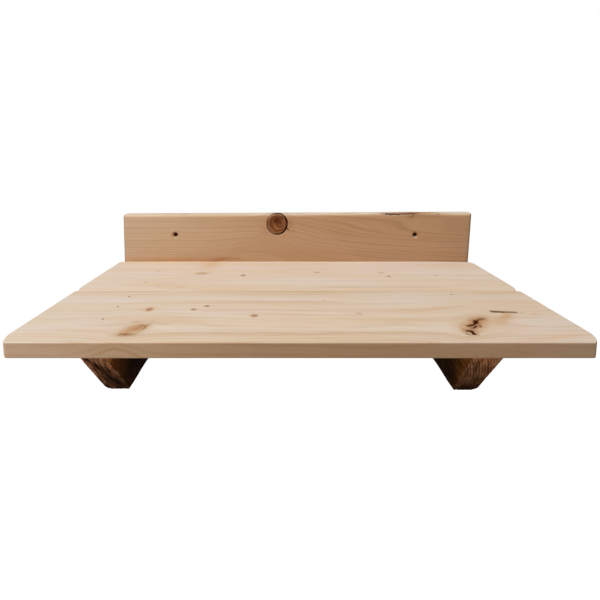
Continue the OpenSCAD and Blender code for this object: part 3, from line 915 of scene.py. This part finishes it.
finer = [[(zero + start, zero + end, step) for start, end, step in rows] for zero, rows in (
    (deck_mid, ((-168, -126, 0.8), (138, 174, 0.4), (184, 214, 0.5))),
    (deck_front, ((14, 62, 0.5), (62, 69, 0.6), (69, 81, 0.25))), (0, ()))]
skin, quads = rounded_block("front_plank", (3, 3, 1.2), finer, 1.5, [[2, 4], [2, 4]])
skin = swept(skin, plank_low, plank_high, (22, 25))
# the lower arris of both ends is rounder, and the right end leans in toward its bottom
above = skin[:, 2] - plank_low[2]
tuck = arris_r - np.sqrt(arris_r ** 2 - np.clip(arris_r - above, 0, arris_r) ** 2)
for side, end_x, lean in ((-1, plank_low[0], 0), (1, plank_high[0], end_lean)):
    near_end = np.clip(1 + side * (skin[:, 0] - end_x) / 8, 0, 1)
    skin[:, 0] -= side * near_end * (tuck + lean * (1 - above / plank_t))
# one nail sits under the dark wood of the broken knot, which stays closed over its head
knot_nail = np.mean(corners("right_nail_1"), 0)
near_nail = fade(np.hypot(skin[:, 0] - knot_nail[0], skin[:, 1] - knot_nail[1]), 1.6, 3.2)
pits = np.minimum(plank_marks(skin, broken_knot, 0.5, 51)[0], 1 - 0.75 * near_nail)
crack = plank_marks(skin, drying_crack, 0.15, 53)[0]
# the rim of the left knot stands in a shallow groove
groove_at, groove_half, groove_depth, turn = (-146, 29.5), (13, 7.5), 0.1, math.radians(60)
from_x, from_y = skin[:, 0] - deck_mid - groove_at[0], skin[:, 1] - deck_front - groove_at[1]
on_top = fade(plank_high[2] - skin[:, 2], 0.5, 2)
rho = np.hypot((from_x * math.cos(turn) + from_y * math.sin(turn)) / groove_half[0],
               (from_y * math.cos(turn) - from_x * math.sin(turn)) / groove_half[1])
skin[:, 2] -= np.maximum(pits, crack) + on_top * groove_depth * np.exp(-((rho - 1) / 0.15) ** 2)
skin[:, 2] -= on_top * (0.05 + 0.05 * soft_noise(skin, (60, 9, 30), 55))
# the right end has a small dent
dent_y, dent_half, dent_depth = 119.5, 1.6, 1.3
dent = dent_depth * np.exp(-((skin[:, 1] - deck_front - dent_y) / dent_half) ** 2)
skin[:, 0] -= dent * fade(plank_high[0] - skin[:, 0], 0.5, 3)
front_board = solid_object("front_plank_wood", np.clip(skin, plank_low, plank_high), quads)
bored(front_board, nail_bores("front_plank"))
at = mesh_points(front_board)
# the kept dark mark: real dark wood in the broken knot's pits, and painted shade inside the drying crack
mark(front_board, "bark_and_shade", np.maximum(plank_marks(at, broken_knot, 0.5, 51)[1],
                                     0.9 * plank_marks(at, drying_crack, 0.15, 53)[1]))
wide_strokes = [(*line, width * 2.6, depth) for *line, width, depth in broken_knot]
mark(front_board, "stain", 0.62 * plank_marks(at, wide_strokes, 1.4, 56)[1])
paint(front_board, at[:, :2] - [deck_mid, deck_front] + 0.5 * soft_noise(at, (3, 5, 9), 58)[:, None],
      [((198, 68), (10, 4.6), 58, 1, (0.87, 0.75, 0.57)), ((187, 53), (15, 6), 58, 0.9, (0.91, 0.8, 0.63)),
       ((159, 44), (28, 10), 56, 0.65, (0.9, 0.75, 0.6)), ((168, 56), (7, 5), 50, 0.6, (0.84, 0.68, 0.54)),
       ((146, 38), (10, 9), 0, 0.5, (0.9, 0.76, 0.64)), ((-145, 33), (22, 12), 68, 0.5, (0.94, 0.86, 0.76)),
       ((-145.2, 31.5), (5.6, 3.6), 50, 0.85, (0.8, 0.62, 0.53)),
       ((-150.6, 18.4), (3.2, 3), 40, 0.9, (0.7, 0.48, 0.38)),
       ((-147.4, 16.6), (9, 3.2), 4, 0.95, (0.6, 0.54, 0.42)),
       ((-155, 19), (2.4, 3), 0, 0.6, (0.8, 0.68, 0.52)),
       ((-141.7, 38.8), (2.8, 3.4), 60, 0.9, (0.62, 0.56, 0.42)),
       ((-138.3, 35), (8, 2.1), 76, 0.9, (0.66, 0.57, 0.43)),
       ((-136.4, 44), (2.6, 2), 60, 0.6, (0.74, 0.64, 0.54)),
       ((-150, 49.5), (4.4, 3), 0, 0.65, (0.8, 0.72, 0.6)),
       ((-149.6, 25), (5, 2), 30, 0.6, (1.14, 1.1, 1.04)),
       ((-140.4, 32.5), (5, 1.2), 70, 0.7, (1.18, 1.18, 1.1)),
       ((-146, 45), (6, 4), 20, 0.5, (1.02, 0.98, 0.9)), ((180, 38), (28, 32), 0, 0.8, (0.95, 0.87, 0.79)),
       ((-172, 38), (26, 34), 0, 0.8, (0.97, 0.935, 0.915)), ((0, 42), (64, 40), 0, 0.75, (1, 0.965, 0.92)),
       ((232, 42), (24, 34), 0, 0.8, (0.97, 0.945, 0.91))])
# the side tints are painted shade on the deck's faces that don't look up, darker toward the right
deck_shades = {
    "pink": linear(224, 206, 189), "yellow": linear(222, 200, 175), "late": (0.88, 0.80, 0.70, 1),
    "least_late": 0.1, "most_late": 0.9, "side": (0.883, 0.72, 0.577, 1),
    "side_shade_far": (0.739, 0.585, 0.461, 1), "side_shade_from_to": (-240, 0), "stain": (0.62, 0.42, 0.26, 1),
    "bark_and_shade": linear(60, 22, 0)}
pale_halo = (218, 192, 158)
front_wood = planed_wood(
    "planed_softwood_front", (deck_mid, deck_front, deck_top), ("X", "Y", "Z"),
    dict(pith_across=48, pith_under=46, ring_width=4.2, wander=9, seed=1), deck_shades,
    [(grain_swell, dict(centre=(168, 92, 0), half_length=36, half_width=26, lift=8))],
    [dict(at=(-146.6, 30), half=(13.6, 7.9), turn=66, wander=0.6, ring=0.8, heart=(0.1, 0.2), push=0.8,
          reach=1.4, core=((212, 172, 140), (194, 152, 116), 0.75), rim=((184, 150, 110), 0.4),
          halo=((206, 176, 136), 0.5)),
     dict(at=(156, 41), half=(25, 11), turn=58, wander=0.6, ring=0.7, push=0.5, reach=1.1,
          core=((210, 176, 140), (196, 154, 114), 0.35), rim=((190, 150, 112), 0.15),
          halo=((216, 194, 164), 0.4)),
     dict(at=(-148.2, 84.5), half=(3.3, 5), reach=1.4, core=((180, 136, 108), (164, 120, 92), 0.85),
          rim=((196, 150, 114), 0.4), halo=((216, 182, 148), 0.8)),
     dict(at=(-104.6, 84.5), half=(2.9, 2.7), core=((166, 132, 104), (150, 116, 88), 0.8),
          rim=((190, 148, 112), 0.4), halo=(pale_halo, 0.5)),
     dict(at=(-93.2, 95.3), half=(2.7, 2.9), core=((162, 126, 94), (146, 112, 80), 0.8),
          rim=((190, 148, 112), 0.4), halo=(pale_halo, 0.5)),
     dict(at=(-43.3, 66), half=(3.6, 4), reach=1.4, core=((174, 138, 108), (158, 120, 90), 0.8),
          rim=((196, 158, 122), 0.4), halo=(pale_halo, 0.6)),
     dict(at=(57.2, 71.5), half=(2.6, 3.2), push=0.6, core=((206, 166, 140), (196, 150, 122), 0.5),
          rim=((198, 156, 130), 0.3), halo=(pale_halo, 0.3)),
     dict(at=(26.2, 112.8), half=(1.5, 1.5), push=0.5, core=((190, 144, 116), (184, 138, 108), 0.6),
          rim=((192, 156, 124), 0.2), halo=(pale_halo, 0.3))],
    [((14, 144), (95, 10), 0, 0.8, (0.95, 0.88, 0.78)), ((14, 149.5), (240, 2.8), 0, 0.8, (0.9, 0.86, 0.8)),
     ((-200, 148), (60, 4), 0, 0.6, (0.93, 0.9, 0.87)), ((90, 3), (120, 12), 0, 0.7, (0.94, 0.88, 0.81)),
     ((215, 128), (50, 45), 0, 0.8, (0.965, 0.925, 0.88)),
     ((60, 125), (130, 13), 0, 0.6, (0.985, 0.955, 0.91)), ((215, 80), (36, 1.8), -2, 0.6, (1, 0.86, 0.75)),
     ((225, 70.5), (4, 2.4), 0, 0.7, (0.92, 0.74, 0.62)), ((215, 11), (34, 4), 12, 0.85, (0.97, 0.82, 0.7)),
     ((226, 25), (24, 1.8), 10, 0.5, (1, 0.88, 0.78)), ((118, 122), (44, 17), -14, 0.8, (1, 1.035, 1.09)),
     ((185, 146), (62, 5), 0, 0.6, (0.97, 0.9, 0.79)), ((-225, 75), (60, 62), 0, 0.8, (1, 1.045, 1.11)),
     ((226, 48), (34, 22), 8, 0.6, (1, 1.03, 1.09)), ((-153.8, 84.5), (5, 2), 0, 0.7, (0.88, 0.74, 0.6)),
     ((-141, 84.5), (7, 2), 0, 0.6, (1, 0.86, 0.78)), ((-104, 84.5), (10, 1.8), 0, 0.4, (0.97, 0.9, 0.82)),
     ((-14, 69), (32, 8), 2, 0.6, (1, 0.955, 0.88)), ((20, 30), (150, 30), 0, 0.5, (1, 0.975, 0.935))],
    [(151, 3.6, 1, -84, 110, 0.8, (0.86, 0.76, 0.62)), (145.5, 2, 3, -262, -150, 0.6, (0.9, 0.8, 0.68)),
     (137, 1.8, 3, -80, 60, 0.5, (0.93, 0.86, 0.76)), (128, 1.6, 3, -90, 90, 0.4, (0.94, 0.88, 0.8)),
     (110, 1.6, 2, -82, 48, 0.8, (0.86, 0.74, 0.6)), (103.5, 2, 5, -262, 110, 0.65, (0.93, 0.85, 0.74)),
     (84, 2.4, 7, -90, 160, 0.8, (0.93, 0.8, 0.69)), (77, 1.6, 3, 30, 130, 0.6, (0.94, 0.8, 0.72)),
     (52, 1.8, 8, -140, 120, 0.4, (0.95, 0.88, 0.79)), (22.5, 2.6, 4, -140, 170, 1, (0.86, 0.75, 0.62)),
     (12, 1.5, 4, -60, 120, 0.3, (0.95, 0.88, 0.8))])
finished(front_board, front_wood, "front_plank")


# Rear plank: the rear half of the deck, laid tight between the front plank and the back board.
# It is of the same planed softwood, with one lens-shaped knot and a few faint curls in the grain.
low, high = corners("rear_plank")
skin, quads = rounded_block("rear_plank", (4, 4, 1.6), ([], [], []), 1.2, [[2, 8], [2, 14]])
skin = swept(skin, low, high, (17, 20))
on_top = fade(high[2] - skin[:, 2], 0.5, 2)
skin[:, 2] -= on_top * (0.05 + 0.05 * soft_noise(skin, (60, 9, 30), 57))
rear_board = solid_object("rear_plank_wood", np.clip(skin, low, high), quads)
bored(rear_board, nail_bores("rear_plank"))
mark(rear_board, "bark_and_shade", np.zeros(len(rear_board.data.vertices)))
paint(rear_board, mesh_points(rear_board)[:, :2], [])
rear_wood = planed_wood(
    "planed_softwood_rear", (deck_mid, deck_front, deck_top), ("X", "Y", "Z"),
    dict(pith_across=238, pith_under=40, ring_width=6, wander=8, seed=2),
    {**deck_shades, "most_late": 0.7, "pink": linear(227, 209, 193), "yellow": linear(225, 203, 179)},
    [(grain_swell, dict(centre=(-165, 172, 0), half_length=16, half_width=12, lift=7)),
     (grain_swell, dict(centre=(-140, 158, 0), half_length=12, half_width=10, lift=-6))],
    [dict(at=(-121.5, 230), half=(7.5, 5), turn=3, wander=0.6, ring=0.5, push=0.8, reach=1.4,
          core=((204, 170, 138), (184, 148, 116), 0.75), rim=((196, 156, 118), 0.3),
          halo=((214, 186, 148), 0.6)),
     dict(at=(-68, 220.4), half=(3.2, 3.4), core=((164, 122, 92), (146, 104, 74), 0.85),
          rim=((186, 142, 108), 0.4), halo=(pale_halo, 0.5)),
     dict(at=(26.5, 235.6), half=(3.6, 3.2), push=0.6, core=((192, 158, 128), (180, 144, 112), 0.7),
          rim=((196, 162, 130), 0.3), halo=(pale_halo, 0.4)),
     dict(at=(108.4, 234), half=(4.2, 3), push=0.6, core=((198, 164, 134), (190, 154, 122), 0.55),
          rim=((196, 162, 130), 0.2), halo=(pale_halo, 0.3)),
     dict(at=(115, 214.7), half=(1.7, 3), push=0.5, core=((140, 104, 78), (126, 92, 66), 0.8),
          rim=((190, 150, 116), 0.3), halo=(pale_halo, 0.3))],
    [((-118, 283), (12, 31), 0, 1, (0.95, 0.845, 0.7)), ((-121, 230), (22, 6), 0, 0.5, (0.97, 0.9, 0.8)),
     ((-154, 176), (26, 22), 0, 0.6, (0.98, 0.93, 0.85)),
     ((-160, 166), (3, 10), 35, 0.5, (0.88, 0.78, 0.66)),
     ((-134, 166), (8, 2.2), -30, 0.5, (0.88, 0.78, 0.66)), ((-176, 190), (12, 2), 40, 0.3, (0.9, 0.8, 0.7)),
     ((222, 214.7), (26, 2.2), 0, 0.45, (1, 0.87, 0.79)), ((-205, 292), (60, 14), 0, 0.5, (1, 0.955, 0.89)),
     ((-205, 156.5), (46, 5), 0, 0.7, (1, 0.9, 0.76)), ((-90, 155.5), (50, 4.5), 0, 0.65, (1, 0.9, 0.77)),
     ((110, 154), (165, 4.6), 0, 0.85, (0.99, 0.87, 0.72)),
     # painted light along the rear edge against the back board, and at the right a painted shadow in the seam
     # against the board
     ((-30, 296), (230, 6), 0, 0.9, (1.13, 1.17, 1.19)),
     ((240, 299.5), (45, 3.6), -3, 0.95, (0.6, 0.5, 0.4))],
    [(167, 0.8, 1, 30, 165, 1, (0.64, 0.48, 0.34)), (225, 1.6, 4, -240, -30, 0.5, (0.95, 0.89, 0.8)),
     (196, 1.4, 5, -200, 230, 0.4, (0.95, 0.88, 0.8)), (262, 1.5, 5, -230, 240, 0.3, (0.96, 0.9, 0.82))])
finished(rear_board, rear_wood, "rear_plank")


# Nails: bare round-head steel nails, punched just below the deck, through the planks into the beams.
def metal(name, lump, seed, light, dark, rougher, rough, metallic):
    """Bare or plated steel with soft blotches of two tones."""
    material, tree = empty_material(name)
    blotch = lumps_of(millimetres(tree), (lump, lump, lump), seed, 3, 0.6)
    colour = mixed(step_between(blotch, 0.35, 0.65), linear(*light), linear(*dark))
    surfaced(colour, times_plus(blotch, rougher, rough), {"Metallic": metallic})
    return material


steel = metal("dulled_nail_steel", 0.9, 2, (62, 50, 42), (40, 28, 20), 0.3, 0.35, 0.9)
for node in sorted(frame["nodes"]):
    if "_nail_" in node:
        low, high = corners(node)
        middle, top = (low + high) / 2, high[2]
        grips = [(r, top - 3 - k * 0.6 + s) for k in range(8)
                 for r, s in ((0.9, 0), (0.82, -0.2), (0.82, -0.35))]
        outline = [(0, top - 0.12), (0.55, top - 0.1), (0.72, top), (1.08, top), (1.2, top - 0.15),
                   (1.2, top - 0.75), (1.05, top - 0.95), (0.9, top - 1), *grips, (0.9, low[2] + 4),
                   (0.32, low[2] + 1.2), (0.1, low[2] + 0.2), (0, low[2])]
        nail = solid_object(node + "_steel", *turned(outline[::-1], (middle[0], middle[1], 0), (0, 0, 1), 24))
        finished(nail, steel, node)


# Bracket screws: zinc-plated countersunk wood screws with a cross recess, driven from the back
# through the back board into the rear ends of the beams.
zinc = metal("zinc_plated_steel", 1.6, 6, (196, 197, 200), (160, 160, 158), 0.25, 0.22, 1)
root_r, shank_r, thread_pitch, thread_h, thread_end = 1.45, 1.6, 2.5, 0.8, 40
recess_faces = [(0, 1, 2, 3), (7, 6, 5, 4), (0, 4, 5, 1), (1, 5, 6, 2), (2, 6, 7, 3), (3, 7, 4, 0)]
for node in screws:
    low, high = corners(node)
    middle, head, tip = (low + high) / 2, high[1], low[1]
    length = head - tip
    rows = np.concatenate([np.arange(0.1, 4.5, 0.15), np.arange(4.5, thread_end, 0.2), [thread_end]])
    outline = [(0, 0), *((root_r * min(1, 0.15 + h / 4.5), h) for h in rows), (shank_r, 48), (shank_r, 58),
               (shank_r, length - 2.8), (4.4, length - 0.35), (4.3, length), (0, length)]
    points, faces = turned(outline, (0, 0, 0), (0, 0, 1), 28)
    turn = np.arctan2(points[:, 1], points[:, 0]) / (2 * math.pi)
    ridge = np.abs(((points[:, 2] / thread_pitch - turn) % 1) - 0.5) * 2
    thread = np.clip((ridge - 0.45) / 0.55, 0, 1) * thread_h
    thread *= fade(points[:, 2], 2.5, 0.3) * fade(points[:, 2], thread_end - 2, thread_end)
    points[:, :2] *= (1 + thread / np.maximum(np.hypot(points[:, 0], points[:, 1]), 0.3))[:, None]
    aim = np.array(Vector((0, 1, 0)).to_track_quat("Z", "Y").to_matrix())
    screw = solid_object(node + "_steel", points @ aim.T + [middle[0], tip, middle[2]], faces)
    for turn in (45, 135):
        a = math.radians(turn)
        long, wide = np.array([math.cos(a), 0, math.sin(a)]), np.array([-math.sin(a), 0, math.cos(a)])
        recess = [np.array([middle[0], y, middle[2]]) + s * half_long * long + t * half_wide * wide
                  for y, half_long, half_wide in ((head - 1.8, 0.9, 0.35), (head + 0.5, 2.3, 0.62))
                  for s, t in ((-1, -1), (1, -1), (1, 1), (-1, 1))]
        bored(screw, [(np.array(recess), recess_faces)])
    finished(screw, zinc, node)
